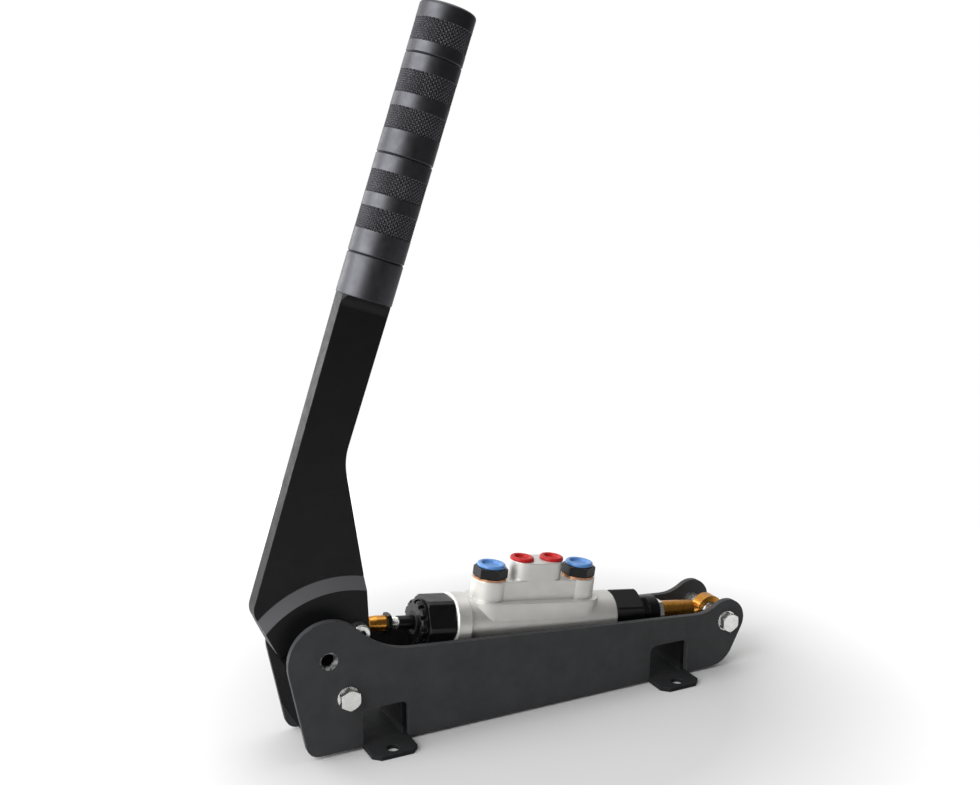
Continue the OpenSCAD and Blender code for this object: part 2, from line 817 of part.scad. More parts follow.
// Starts of the seal grooves of a piston
function seal_places(u0, length) = [u0 + seal_inset, u0 + length - seal_inset - groove_w];

// Seal rings in a piston's grooves
module piston_seals(u0, length) {
  play = hole_play;
  color(rubber_black) for (u = seal_places(u0, length)) difference() {
    rod(piston_r, u + play, u + groove_w - play);
    rod(piston_r - groove_depth + play, u - 1, u + groove_w + 1);
  }
}

// Primary piston with the pushrod's socket in its front end
module primary_piston() {
  socket_r = rod_r + run_play;
  color(bright_alloy) on_axis() difference() {
    piston(u_primary, primary_l);
    rod(socket_r, u_primary - 1, u_primary + rod_tip_depth - rod_r);
    translate([u_primary + rod_tip_depth - rod_r, 0, 0]) sphere(r = socket_r);
  }
}

module primary_seals() on_axis() piston_seals(u_primary, primary_l);

module secondary_piston() color(bright_alloy) on_axis() piston(u_secondary, secondary_l);

module secondary_seals() on_axis() piston_seals(u_secondary, secondary_l);

// Coil spring along Z
module coil(length) {
  sides = 6;
  steps = 16 * spring_turns;
  rise = length - 2 * spring_wire_r;
  points = [
    for (i = [0 : steps]) let (a = 360 * spring_turns * i / steps)
      for (j = [0 : sides - 1]) let (
        r = spring_coil_r + spring_wire_r * cos(360 * j / sides),
        z = spring_wire_r + rise * i / steps + spring_wire_r * sin(360 * j / sides)
      ) [r * cos(a), r * sin(a), z]
  ];
  walls = [
    for (i = [0 : steps - 1]) for (j = [0 : sides - 1]) let (k = (j + 1) % sides)
      [i * sides + j, (i + 1) * sides + j, (i + 1) * sides + k, i * sides + k]
  ];
  first = [for (j = [0 : sides - 1]) j];
  last = [for (j = [sides - 1 : -1 : 0]) steps * sides + j];
  polyhedron(points, concat(walls, [first, last]));
}

module return_spring(u) {
  color(zinc) on_axis() translate([u + spring_end_play, 0, 0]) rotate([0, 90, 0])
    coil(spring_l - 2 * spring_end_play);
}

module primary_spring() return_spring(u_primary_end);

module secondary_spring() return_spring(u_secondary_end);

// Plan of a round-ended pad of given length and width
module pad(length, width) {
  square([length - width, width], center = true);
  for (x = [-1, 1] * (length - width) / 2) translate([x, 0]) circle(d = width);
}

// Body with its port block: a foot tier, two inlet bosses and the outlet tier between them
module cylinder_body() {
  ledge_w = 2 * body_r - 1;
  edge = 1;
  color(bright_alloy) on_axis() difference() {
    union() {
      turned([
        [0, u_body], [flange_r - edge, u_body], [flange_r, u_body + edge],
        [flange_r, u_body + flange_l - edge], [flange_r - edge, u_body + flange_l],
        [body_r, u_body + flange_l],
        [body_r, u_body_end - edge], [body_r - edge, u_body_end], [0, u_body_end]
      ]);
      upright(u_ports, 0) linear_extrude(foot_tier_h) pad(3 * port_pitch + ledge_w, ledge_w);
      upright(u_ports, 0) linear_extrude(boss_h) square([3 * port_pitch, tier_w], center = true);
      upright(u_ports, 0) linear_extrude(tier_h) pad(tier_l, tier_w);
      for (u = inlet_u) upright(u, 0) cylinder(r = boss_r, h = boss_h);
    }
    rod(bore_r, u_body - 1, u_body_end + 1);
    rod(gland_spigot_r, u_body - 1, u_body + gland_spigot_l);
    for (u = inlet_u) {
      upright(u, boss_h - port_depth) cylinder(r = port_r, h = port_depth + 1);
      upright(u, 0) cylinder(r = feed_r, h = boss_h);
    }
    for (u = outlet_u) {
      upright(u, tier_h - port_depth) cylinder(r = port_r, h = port_depth + 1);
      upright(u, 0) cylinder(r = feed_r, h = tier_h);
    }
  }
}

// Gland nut screwed into the body; it stops the primary piston at rest
module gland_nut() {
  corner_r = gland_af / 2 + 1.8;
  edge = 1;
  color(black_anodised) on_axis() difference() {
    union() {
      intersection() {
        translate([u_gland, 0, 0]) rotate([0, 90, 0]) rotate([0, 0, 30])
          cylinder(r = gland_af / sqrt(3), h = gland_l, $fn = 6);
        turned([
          [0, u_gland], [corner_r - edge, u_gland], [corner_r, u_gland + edge],
          [corner_r, u_body - edge], [corner_r - edge, u_body], [0, u_body]
        ]);
      }
      rod(gland_spigot_r - hole_play, u_body - 1, u_body + gland_spigot_l);
    }
    rod(rod_r + rod_room, u_gland - 1, u_body + gland_spigot_l + 1);
  }
}

// Castellated ring that locks the gland and holds the wiper
module lock_ring() {
  r = ring_d / 2;
  notch_w = 3;
  notch_depth = 2.5;
  notch_l = ring_l - 1;
  edge = 1;
  color(black_anodised) on_axis() difference() {
    turned([
      [rod_r + rod_room, u_ring], [r - edge, u_ring], [r, u_ring + edge],
      [r, u_gland], [rod_r + rod_room, u_gland]
    ]);
    rod(wiper_r + hole_play, u_ring - 1, u_ring + wiper_l);
    for (i = [0 : ring_notches - 1]) rotate([360 * i / ring_notches, 0, 0])
      translate([u_ring - 1, -notch_w / 2, r - notch_depth]) cube([notch_l + 1, notch_w, notch_depth + 1]);
  }
}

// Rubber wiper round the pushrod
module rod_wiper() {
  color(rubber_black) on_axis() difference() {
    rod(wiper_r, u_ring, u_ring + wiper_l - hole_play);
    rod(rod_r + run_play, u_ring - 1, u_ring + wiper_l + 1);
  }
}

// Rear cap: a hexagon with a spigot in the bore and a socket for the neck
module rear_cap() {
  corner_r = cap_af / 2 + 2;
  edge = 1;
  color(black_anodised) on_axis() difference() {
    union() {
      intersection() {
        translate([u_body_end, 0, 0]) rotate([0, 90, 0])
          cylinder(r = cap_af / sqrt(3), h = cap_l, $fn = 6);
        turned([
          [0, u_body_end], [corner_r, u_body_end], [corner_r, u_cap_end - edge],
          [corner_r - edge, u_cap_end], [0, u_cap_end]
        ]);
      }
      rod(cap_spigot_r, u_spring_2_end, u_body_end + 1);
    }
    difference() {
      rod(bore_r, u_cap_groove, u_cap_groove + groove_w);
      rod(cap_spigot_r - groove_depth, u_cap_groove - 1, u_body_end);
    }
    rod(neck_spigot_r + hole_play, u_cap_end - neck_spigot_l - 1, u_cap_end + 1);
  }
}

module cap_seal() {
  color(rubber_black) on_axis() difference() {
    rod(cap_spigot_r, u_cap_groove + hole_play, u_cap_groove + groove_w - hole_play);
    rod(cap_spigot_r - groove_depth + hole_play, u_cap_groove - 1, u_body_end);
  }
}

// Neck with wrench flats, between the cap and the rear rod end
module rear_neck() {
  r = neck_d / 2;
  edge = 1;
  flat_l = 7;
  flat_start = 1.5;
  flat_depth = 1.6;
  color(black_anodised) on_axis() difference() {
    union() {
      turned([
        [0, u_cap_end], [r, u_cap_end], [r, u_neck_end - edge], [r - edge, u_neck_end], [0, u_neck_end]
      ]);
      rod(neck_spigot_r, u_cap_end - neck_spigot_l, u_cap_end + 1);
    }
    for (a = [45 : 90 : 315]) rotate([a, 0, 0])
      translate([u_cap_end + flat_start, -r, r - flat_depth]) cube([flat_l, 2 * r, flat_depth + 1]);
    rod(rear_stud_r + hole_play, u_neck_end - rear_stud_in_neck - 1, u_neck_end + 1);
  }
}

module rear_stud() {
  color(zinc) on_axis() rod(rear_stud_r, u_neck_end - rear_stud_in_neck, u_rear_nut + rear_stud_in_eye);
}

module rear_jam_nut() {
  color(zinc) on_axis() translate([u_neck_end, 0, 0]) rotate([0, 90, 0])
    hex_nut(rear_jam_af, rear_stud_r + hole_play, rear_jam_h);
}

module inlet_seal_washers() {
  color(copper) on_axis() for (u = inlet_u) upright(u, boss_h) difference() {
    cylinder(r = adaptor_af / 2 + 1, h = seal_washer_t);
    translate([0, 0, -1]) cylinder(r = port_r + hole_play, h = seal_washer_t + 2);
  }
}

// Inlet adaptors screwed into the bosses
module inlet_adaptors() {
  color(black_anodised) on_axis() for (u = inlet_u) upright(u, boss_h + seal_washer_t) difference() {
    union() {
      hex_bar(adaptor_af, adaptor_h);
      translate([0, 0, -plug_stem_l]) cylinder(r = port_r - hole_play, h = plug_stem_l + 1);
    }
    translate([0, 0, -plug_stem_l - 1]) cylinder(r = adaptor_bore_r, h = plug_stem_l + adaptor_h + 2);
  }
}

// Shipping plug seated at the local origin
module plug(head_d, stem_r) {
  recess_r = head_d / 4;
  difference() {
    union() {
      cylinder(d = head_d, h = plug_h * 0.6);
      translate([0, 0, plug_h * 0.6]) cylinder(d1 = head_d, d2 = head_d - 2, h = plug_h * 0.4);
      translate([0, 0, -plug_stem_l]) cylinder(r = stem_r, h = plug_stem_l + 1);
    }
    translate([0, 0, plug_h / 2]) cylinder(r = recess_r, h = plug_h);
  }
}

module inlet_plugs() {
  color(plug_blue) on_axis() for (u = inlet_u) upright(u, boss_h + seal_washer_t + adaptor_h)
    plug(inlet_plug_d, adaptor_bore_r - hole_play);
}

module outlet_plugs() {
  color(plug_red) on_axis() for (u = outlet_u) upright(u, tier_h) plug(outlet_plug_d, port_r - hole_play);
}

left_side_plate();
right_side_plate();
front_cross_plate();
front_floor_bar();
rear_floor_bar();
pivot_bolt();
pivot_nut();
pivot_washers();
pivot_sleeve();
pivot_spacers();
rear_bolt();
rear_nut();
rear_washers();
rear_spacers();
rear_ball();
lever();
pivot_bushes();
lower_grip_sleeve();
upper_grip_sleeve();
grip_end_cap();
grip_stud();
link_bolt();
link_nut();
front_ball();
front_rod_end();
front_jam_nut();
pushrod_stud();
pushrod();
primary_piston();
primary_seals();
secondary_piston();
secondary_seals();
cylinder_body();
gland_nut();
lock_ring();
rod_wiper();
primary_spring();
secondary_spring();
rear_cap();
cap_seal();
rear_neck();
rear_stud();
rear_jam_nut();
rear_rod_end();
inlet_adaptors();
inlet_seal_washers();
inlet_plugs();
outlet_plugs();
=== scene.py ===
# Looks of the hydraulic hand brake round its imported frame: finishes, knurled grip, thread, plugs and a studio
import json
import math

import bpy
from mathutils import Matrix, Vector


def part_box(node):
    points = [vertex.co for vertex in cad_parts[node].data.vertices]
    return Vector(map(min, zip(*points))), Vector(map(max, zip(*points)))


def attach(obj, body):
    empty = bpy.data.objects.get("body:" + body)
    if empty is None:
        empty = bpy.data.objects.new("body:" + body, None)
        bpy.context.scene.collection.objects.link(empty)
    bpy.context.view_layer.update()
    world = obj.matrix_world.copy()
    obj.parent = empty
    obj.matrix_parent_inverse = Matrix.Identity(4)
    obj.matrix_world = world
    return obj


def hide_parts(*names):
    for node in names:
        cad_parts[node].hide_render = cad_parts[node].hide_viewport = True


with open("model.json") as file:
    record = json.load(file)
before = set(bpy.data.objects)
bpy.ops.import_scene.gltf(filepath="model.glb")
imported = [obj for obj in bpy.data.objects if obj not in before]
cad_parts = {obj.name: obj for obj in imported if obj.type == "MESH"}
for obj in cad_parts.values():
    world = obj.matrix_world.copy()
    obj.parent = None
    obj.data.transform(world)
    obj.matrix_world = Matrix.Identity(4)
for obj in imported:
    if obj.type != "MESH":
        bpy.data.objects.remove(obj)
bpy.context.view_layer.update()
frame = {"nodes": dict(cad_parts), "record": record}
nodes = frame["nodes"]
joints = {joint["name"]: joint for joint in frame["record"]["behaviour"]["joints"]}

MM = 0.001

# Axes and places: the joints' own, and two that the frame doesn't name
LEVER_PIVOT = Vector(joints["lever_pull"]["pos_m"])
REAR_BOLT = Vector(joints["cylinder_tilt"]["pos_m"])
AXIS_BACK = Vector(joints["pushrod_stroke"]["axis"])
AXIS_UP = Vector((-AXIS_BACK.z, 0, AXIS_BACK.x))
AXIS_FALL = math.atan2(-AXIS_BACK.z, AXIS_BACK.x)
SPARE_HOLE = Vector((-148.8, 0, 66.5)) * MM
SHANK_FOOT = LEVER_PIVOT + Vector((27.7, 0, 256.6)) * MM
GRIP_LEAN = math.radians(19)
GRIP_UP = Vector((math.sin(GRIP_LEAN), 0, math.cos(GRIP_LEAN)))


def reach_along(node, origin, direction):
    """Lowest and highest point of a CAD node along a direction from origin, in mm."""
    along = [(corner.co - origin).dot(direction) / MM for corner in nodes[node].data.vertices]
    return min(along), max(along)


# Camera, fitted to the photo; angles in degrees
SENSOR_W = 36
LENS = 47.23
CAMERA_PLACE = (-0.39, -0.7531, 0.4154)
CAMERA_YAW = 26.06
CAMERA_PITCH = 12.85
CAMERA_ROLL = -0.21
CLIP_NEAR = 0.01
CLIP_FAR = 60


def add_camera():
    data = bpy.data.cameras.new("camera")
    data.sensor_fit = "HORIZONTAL"
    data.sensor_width = SENSOR_W
    data.lens = LENS
    data.clip_start = CLIP_NEAR
    data.clip_end = CLIP_FAR
    yaw, pitch, roll = (math.radians(angle) for angle in (CAMERA_YAW, CAMERA_PITCH, CAMERA_ROLL))
    ahead = Vector((math.sin(yaw) * math.cos(pitch), math.cos(yaw) * math.cos(pitch), -math.sin(pitch)))
    level = Vector((math.cos(yaw), -math.sin(yaw), 0))
    upright = level.cross(ahead)
    right = math.cos(roll) * level + math.sin(roll) * upright
    up = math.cos(roll) * upright - math.sin(roll) * level
    place = Matrix((right, up, -ahead)).transposed().to_4x4()
    place.translation = CAMERA_PLACE
    camera = bpy.data.objects.new("camera", data)
    camera.matrix_world = place
    bpy.context.collection.objects.link(camera)
    bpy.context.scene.camera = camera


# Node helpers, and how much detail a noise has
FINE = 2.0
PATCHY = 3.0
CLOUDY = 4.0


def new_node(tree, kind, **settings):
    node = tree.nodes.new(kind)
    for key, value in settings.items():
        setattr(node, key, value)
    return node


def link(tree, source, target):
    tree.links.new(source, target)


def mix(tree, factor, first, second):
    """Colour between first and second; either is a socket or a colour."""
    node = new_node(tree, "ShaderNodeMix", data_type="RGBA")
    link(tree, factor, node.inputs[0])
    for value, socket in ((first, node.inputs[6]), (second, node.inputs[7])):
        if isinstance(value, tuple):
            socket.default_value = value + (1,)
        else:
            link(tree, value, socket)
    return node.outputs[2]


def map_range(tree, value, low, high, to_low, to_high):
    node = new_node(tree, "ShaderNodeMapRange")
    link(tree, value, node.inputs["Value"])
    node.inputs["From Min"].default_value = low
    node.inputs["From Max"].default_value = high
    node.inputs["To Min"].default_value = to_low
    node.inputs["To Max"].default_value = to_high
    return node.outputs["Result"]


def noise(tree, coords, scale, detail, stretch=None):
    """Noise over places in metres; stretch is its scale along the cylinder's axis, across it and up."""
    if stretch:
        turn = new_node(tree, "ShaderNodeMapping")
        turn.inputs["Rotation"].default_value = (0, -AXIS_FALL, 0)
        link(tree, coords, turn.inputs["Vector"])
        squeeze = new_node(tree, "ShaderNodeMapping")
        squeeze.inputs["Scale"].default_value = stretch
        link(tree, turn.outputs["Vector"], squeeze.inputs["Vector"])
        coords = squeeze.outputs["Vector"]
    node = new_node(tree, "ShaderNodeTexNoise")
    node.inputs["Scale"].default_value = scale
    node.inputs["Detail"].default_value = detail
    link(tree, coords, node.inputs["Vector"])
    return node.outputs["Fac"]


def tint(colour, k):
    return tuple(min(1.0, c * k) for c in colour)


def combine(tree, operation, values):
    """Values joined one after the other by a math node."""
    result = values[0]
    for value in values[1:]:
        node = new_node(tree, "ShaderNodeMath", operation=operation)
        link(tree, result, node.inputs[0])
        link(tree, value, node.inputs[1])
        result = node.outputs["Value"]
    return result


def product(tree, *values):
    return combine(tree, "MULTIPLY", values)


def largest(tree, *values):
    return combine(tree, "MAXIMUM", values)


def along_axis(tree, vector, direction):
    node = new_node(tree, "ShaderNodeVectorMath", operation="DOT_PRODUCT")
    link(tree, vector, node.inputs[0])
    node.inputs[1].default_value = direction
    return node.outputs["Value"]


def off_cross_axis(tree, coords, centre):
    """Distance from a cross axis through centre, in the side view."""
    flat = new_node(tree, "ShaderNodeVectorMath", operation="MULTIPLY")
    link(tree, coords, flat.inputs[0])
    flat.inputs[1].default_value = (1, 0, 1)
    far = new_node(tree, "ShaderNodeVectorMath", operation="DISTANCE")
    link(tree, flat.outputs["Vector"], far.inputs[0])
    far.inputs[1].default_value = centre
    return far.outputs["Value"]


def off_middle(tree, coords):
    """Distance from the middle plane of the part."""
    size = new_node(tree, "ShaderNodeMath", operation="ABSOLUTE")
    link(tree, along_axis(tree, coords, (0, 1, 0)), size.inputs[0])
    return size.outputs["Value"]


# Zones of a finish, each with the two distances in mm between which it fades in or out
SLOPE_RIM = (67.3, 67.6)
SLOPE_END = (78, 79)
SLOPE_FACE = (6.02, 6.3)
SHANK_SHOULDER = (-2.4, -2.2)
CHAMFER_RIM = (6.3, 6.6)
CHAMFER_FACE = (24.9, 24.98)
LEG_FOOT = (6, 9)
# Patches on the spare hole's chamfer: chipped paint with painted highlight
CHAMFER_PATCH_SCALE = 330
CHAMFER_PATCH_SPAN = (0.46, 0.58)


def beyond(tree, value, fade):
    return map_range(tree, value, fade[0] * MM, fade[1] * MM, 0, 1)


def within(tree, value, fade):
    return map_range(tree, value, fade[0] * MM, fade[1] * MM, 1, 0)


def slope_painted_light(tree, coords):
    """Slope round the lever's thick base, painted lighter than the face: a painted highlight where the slope
    turns up to the light.
    """
    out = off_cross_axis(tree, coords, LEVER_PIVOT)
    return product(tree, beyond(tree, out, SLOPE_RIM), within(tree, out, SLOPE_END),
                   beyond(tree, off_middle(tree, coords), SLOPE_FACE))


def round_shank(tree, coords):
    """Shank of the lever, which is turned like the grip."""
    foot = SHANK_FOOT.dot(GRIP_UP) / MM
    return beyond(tree, along_axis(tree, coords, GRIP_UP), [foot + edge for edge in SHANK_SHOULDER])


def chamfer_chips_and_highlight(tree, coords):
    """Chamfer of the spare pin hole, light grey in patches: partly chipped paint and partly painted highlight.
    """
    near = within(tree, off_cross_axis(tree, coords, SPARE_HOLE), CHAMFER_RIM)
    inside = within(tree, off_middle(tree, coords), CHAMFER_FACE)
    chamfer_patches = map_range(tree, noise(tree, coords, CHAMFER_PATCH_SCALE, FINE), *CHAMFER_PATCH_SPAN, 0, 1)
    return product(tree, near, inside, chamfer_patches)


def leg_painted_shade(tree, coords):
    """Upright leg of a floor bar, painted near-black as painted shade for the shade it lies in between the side
    plates.
    """
    return beyond(tree, along_axis(tree, coords, (0, 0, 1)), LEG_FOOT)


# Finishes
NOISE_SPAN = (0.3, 0.7)
EDGE_TURN = (0.995, 0.85)
# Scale and span of the lighter edge patches, worn paint with painted highlight
EDGE_PATCH_SCALE = 260
EDGE_PATCH_SPAN = (0.42, 0.62)
ROUGH_SCALE = 3
COAT_ROUGH = 0.15
BEVEL_SAMPLES = 6


def lit_and_worn_edges(tree, coords, edge_normal, amount):
    """Mask of the lighter patches on rounded edges, partly worn paint and partly painted highlight: where the
    softened normal turns from the face's own.
    """
    facing = new_node(tree, "ShaderNodeVectorMath", operation="DOT_PRODUCT")
    link(tree, edge_normal, facing.inputs[0])
    link(tree, new_node(tree, "ShaderNodeNewGeometry").outputs["Normal"], facing.inputs[1])
    on_edge = map_range(tree, facing.outputs["Value"], *EDGE_TURN, 0, amount)
    patches = map_range(tree, noise(tree, coords, EDGE_PATCH_SCALE, PATCHY), *EDGE_PATCH_SPAN, 0, 1)
    return product(tree, on_edge, patches)


def finish_material(name, colour, rough, metallic=0.0, specular=0.5, grain=(1500, 0.25, 0.03),
                    mottle=(60, 0.12), rough_spread=0.06, edge=0.5, wear_and_highlight=None, coat=0.0, stretch=None,
                    zones=()):
    """A finish: mottled colour, grained roughness and bump, softened edges, and lighter patches on the edges,
    partly worn paint and partly painted highlight.

    grain is the scale, strength and depth in mm; mottle is the scale and amount; edge is the edge radius in
    mm; wear_and_highlight is the colour of the lighter edge patches, worn paint and painted highlight, and how
    much of it; stretch is the grain's scale along, across and up from the cylinder's axis; each of zones is a
    mask, its colour and its metallic value."""
    material = bpy.data.materials.new(name)
    material.use_nodes = True
    tree = material.node_tree
    shader = tree.nodes["Principled BSDF"]
    coords = new_node(tree, "ShaderNodeTexCoord").outputs["Object"]
    shade = map_range(tree, noise(tree, coords, mottle[0], CLOUDY), *NOISE_SPAN, 0, 1)
    base = mix(tree, shade, tint(colour, 1 - mottle[1]), tint(colour, 1 + mottle[1]))
    round_edge = new_node(tree, "ShaderNodeBevel", samples=BEVEL_SAMPLES)
    round_edge.inputs["Radius"].default_value = edge * MM
    if wear_and_highlight:
        base = mix(tree, lit_and_worn_edges(tree, coords, round_edge.outputs["Normal"], wear_and_highlight[1]), base, wear_and_highlight[0])
    for mask, zone_colour, zone_metallic in zones:
        inside = mask(tree, coords)
        base = mix(tree, inside, base, zone_colour)
        if zone_metallic != metallic:
            link(tree, map_range(tree, inside, 0, 1, metallic, zone_metallic), shader.inputs["Metallic"])
    link(tree, base, shader.inputs["Base Color"])
    spread = noise(tree, coords, mottle[0] * ROUGH_SCALE, PATCHY)
    roughness = map_range(tree, spread, *NOISE_SPAN, rough - rough_spread, rough + rough_spread)
    link(tree, roughness, shader.inputs["Roughness"])
    bump = new_node(tree, "ShaderNodeBump")
    bump.inputs["Strength"].default_value = grain[1]
    bump.inputs["Distance"].default_value = grain[2] * MM
    link(tree, noise(tree, coords, grain[0], FINE, stretch), bump.inputs["Height"])
    link(tree, round_edge.outputs["Normal"], bump.inputs["Normal"])
    link(tree, bump.outputs["Normal"], shader.inputs["Normal"])
    shader.inputs["Metallic"].default_value = metallic
    shader.inputs["Specular IOR Level"].default_value = specular
    shader.inputs["Coat Weight"].default_value = coat
    shader.inputs["Coat Roughness"].default_value = COAT_ROUGH
    return material


PAINT_GRAIN = (1100, 0.35, 0.06)
PLASTIC_GRAIN = (900, 0.15, 0.04)
GRIP_BLACK = (0.076, 0.076, 0.084)
FINISH_VALUES = {
    # the light grey zone on the spare hole's chamfer is chipped paint with painted highlight
    "base_paint": dict(
        colour=(0.038, 0.039, 0.041), rough=0.62, specular=0.25, grain=PAINT_GRAIN,
        wear_and_highlight=((0.16, 0.16, 0.16), 0.6), zones=[(chamfer_chips_and_highlight, (0.24, 0.24, 0.24), 0.0)]),
    # floor bars: the plate paint made darker as painted shade, near-black on the upright legs
    "bar_shade_paint": dict(
        colour=(0.013, 0.0135, 0.0145), rough=0.7, specular=0.15, grain=PAINT_GRAIN,
        # the leg zone is painted shade
        wear_and_highlight=((0.12, 0.12, 0.12), 0.5), zones=[(leg_painted_shade, (0.004, 0.004, 0.0042), 0.0)]),
    # painted shade: the front cross plate's paint is near-black for the shade it lies in inside the base
    "shaded_paint": dict(colour=(0.003, 0.003, 0.0032), rough=0.85, specular=0.015, grain=PAINT_GRAIN),
    "lever_paint": dict(
        colour=(0.0075, 0.0075, 0.008), rough=0.45, specular=0.16, grain=(1800, 0.25, 0.03),
        wear_and_highlight=((0.08, 0.08, 0.085), 0.5), edge=0.8,
        # the slope zone is a painted highlight; the shank zone is the grip's turned finish
        zones=[(slope_painted_light, (0.09, 0.09, 0.095), 0.0), (round_shank, GRIP_BLACK, 1.0)]),
    "grip_finish": dict(
        colour=GRIP_BLACK, rough=0.45, metallic=1.0, grain=(2200, 0.2, 0.02),
        wear_and_highlight=((0.14, 0.14, 0.15), 0.5), edge=0.3),
    "zinc_steel": dict(
        colour=(0.76, 0.76, 0.74), rough=0.3, metallic=1.0, mottle=(180, 0.1), grain=(1600, 0.25, 0.02),
        edge=0.35),
    # painted shade: the ball steel is a dark grey, darker than bright steel, for the shade it sits in between
    # the plates
    "ball_steel": dict(
        colour=(0.3, 0.3, 0.31), rough=0.28, metallic=1.0, mottle=(120, 0.05), grain=(2400, 0.1, 0.01),
        rough_spread=0.04, edge=0.3),
    "bronze": dict(colour=(0.56, 0.38, 0.17), rough=0.35, metallic=1.0, edge=0.3),
    "gold_plate": dict(
        colour=(0.52, 0.235, 0.04), rough=0.3, metallic=1.0, mottle=(140, 0.18), grain=(1400, 0.25, 0.02),
        wear_and_highlight=((0.6, 0.5, 0.3), 0.5), edge=0.6),
    "black_fittings": dict(
        colour=(0.0025, 0.0025, 0.003), rough=0.34, specular=0.28, grain=(1700, 0.2, 0.02),
        wear_and_highlight=((0.12, 0.12, 0.13), 0.6), edge=0.5),
    "bright_alloy": dict(
        colour=(0.64, 0.633, 0.605), rough=0.48, metallic=0.7, mottle=(45, 0.05), grain=(700, 0.25, 0.03),
        rough_spread=0.05, edge=0.9, stretch=(2.6, 0.5, 0.5)),
    "seal_rubber": dict(colour=(0.018, 0.018, 0.018), rough=0.6, specular=0.3, edge=0.4),
    "spring_steel": dict(colour=(0.45, 0.45, 0.46), rough=0.32, metallic=1.0, edge=0.1),
    "copper": dict(colour=(0.56, 0.27, 0.14), rough=0.34, metallic=1.0, mottle=(220, 0.2), edge=0.3),
    "blue_plastic": dict(
        colour=(0.085, 0.23, 0.52), rough=0.36, specular=0.4, mottle=(90, 0.08), grain=PLASTIC_GRAIN,
        coat=0.2),
    "red_plastic": dict(
        colour=(0.42, 0.012, 0.012), rough=0.4, specular=0.2, mottle=(90, 0.1), grain=PLASTIC_GRAIN,
        coat=0.05),
    "nylon": dict(colour=(0.6, 0.6, 0.58), rough=0.45, specular=0.4, mottle=(150, 0.06), edge=0.3),
}
FINISH = {name: finish_material(name, **values) for name, values in FINISH_VALUES.items()}


def paint_frame():
    """Gives each CAD node the finish of its slot; the floor bars get a darker copy of the plate paint, which
    paints in the shade inside the windows of the side plates.
    """
    for part in frame["record"]["subparts"]:
        mesh = nodes[part["node"]].data
        mesh.materials.clear()
        mesh.materials.append(FINISH["bar_shade_paint" if "floor_bar" in part["node"] else part["material_slot"]])


# Turned pieces: radius of the small hole left at an axis, in mm, and the angle of a sharp edge in degrees
POLE_R = 0.05
SHARP_EDGE = 35


def stand(origin, along, x_hint=Vector((0, 1, 0))):
    """Placement whose Z axis runs along a direction from origin."""
    z = along.normalized()
    y = z.cross(x_hint).normalized()
    x = y.cross(z)
    place = Matrix((x, y, z)).transposed().to_4x4()
    place.translation = origin
    return place


def lathe(rows, seg, shape=None, diagonal=None, close=True):
    """Vertices and faces of a turned piece along Z: rows of (height, radius) in mm.

    shape(i, j, radius) changes the radius of point i in row j; diagonal(i, j) splits a cell along its first
    diagonal (0), its second (1) or leaves it whole (None); close adds the two end faces."""
    verts = []
    for j, (z, r) in enumerate(rows):
        for i in range(seg):
            turn = 2 * math.pi * i / seg
            radius = shape(i, j, r) if shape else r
            verts.append((radius * math.cos(turn) * MM, radius * math.sin(turn) * MM, z * MM))
    faces = []
    for j in range(len(rows) - 1):
        for i in range(seg):
            k = (i + 1) % seg
            a, b, c, d = j * seg + i, j * seg + k, (j + 1) * seg + k, (j + 1) * seg + i
            split = diagonal(i, j) if diagonal else None
            if split is None:
                faces.append((a, b, c, d))
            elif split == 0:
                faces += [(a, b, c), (a, c, d)]
            else:
                faces += [(a, b, d), (b, c, d)]
    if close:
        faces.append(tuple(range(seg - 1, -1, -1)))
        faces.append(tuple(range((len(rows) - 1) * seg, len(rows) * seg)))
    return verts, faces


def add_piece(name, parts, finishes, body, replaced, sharp=SHARP_EDGE):
    """One object from several (vertices, faces, placement, finish number), in place of a CAD node."""
    verts, faces, picks = [], [], []
    for part_verts, part_faces, place, pick in parts:
        start = len(verts)
        verts += [tuple(place @ Vector(v)) for v in part_verts]
        faces += [tuple(start + n for n in face) for face in part_faces]
        picks += [pick] * len(part_faces)
    mesh = bpy.data.meshes.new(name)
    mesh.from_pydata(verts, [], faces)
    for finish in finishes:
        mesh.materials.append(FINISH[finish])
    for face, pick in zip(mesh.polygons, picks):
        face.material_index = pick
        face.use_smooth = True
    mesh.set_sharp_from_angle(angle=math.radians(sharp))
    piece = bpy.data.objects.new(name, mesh)
    bpy.context.collection.objects.link(piece)
    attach(piece, body)
    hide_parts(replaced)


# Grip: two sleeves and an end cap with knurled bands, in mm
GRIP_R = 18.25
GRIP_BORE_R = 11.05
GRIP_BEVEL = 0.8
SLEEVE_BANDS = (22.5, 45.5)
CAP_BANDS = (14.8,)
CAP_ROUND = 2.5
CAP_ROUND_STEPS = 8
CAP_DIMPLE = [(0, 6.0), (-0.6, 5.2), (-0.6, POLE_R)]
KNURLS = 40
KNURL_STEPS = 4
KNURL_PITCH = 2.8
KNURL_DEPTH = 0.85
KNURL_FLAT = 1.5
BAND_STEPS = 20
BAND_LIPS = (0.25, 0.5)


def knurl_height(i, j):
    """Height of the knurl, 0 in a groove and 1 on a flat, at a quarter step round and along."""
    def ridge(n):
        return 1 - abs(2 * ((n % KNURL_STEPS) / KNURL_STEPS) - 1)
    return min(1.0, KNURL_FLAT * min(ridge(i + j), ridge(i - j)))


def knurl_split(i, j):
    """Diagonal of a cell that lies along the knurl's grooves."""
    if (i + j + 1) % KNURL_STEPS == 0:
        return 1
    if (i - j) % KNURL_STEPS == 0:
        return 0
    return (i + j) % 2


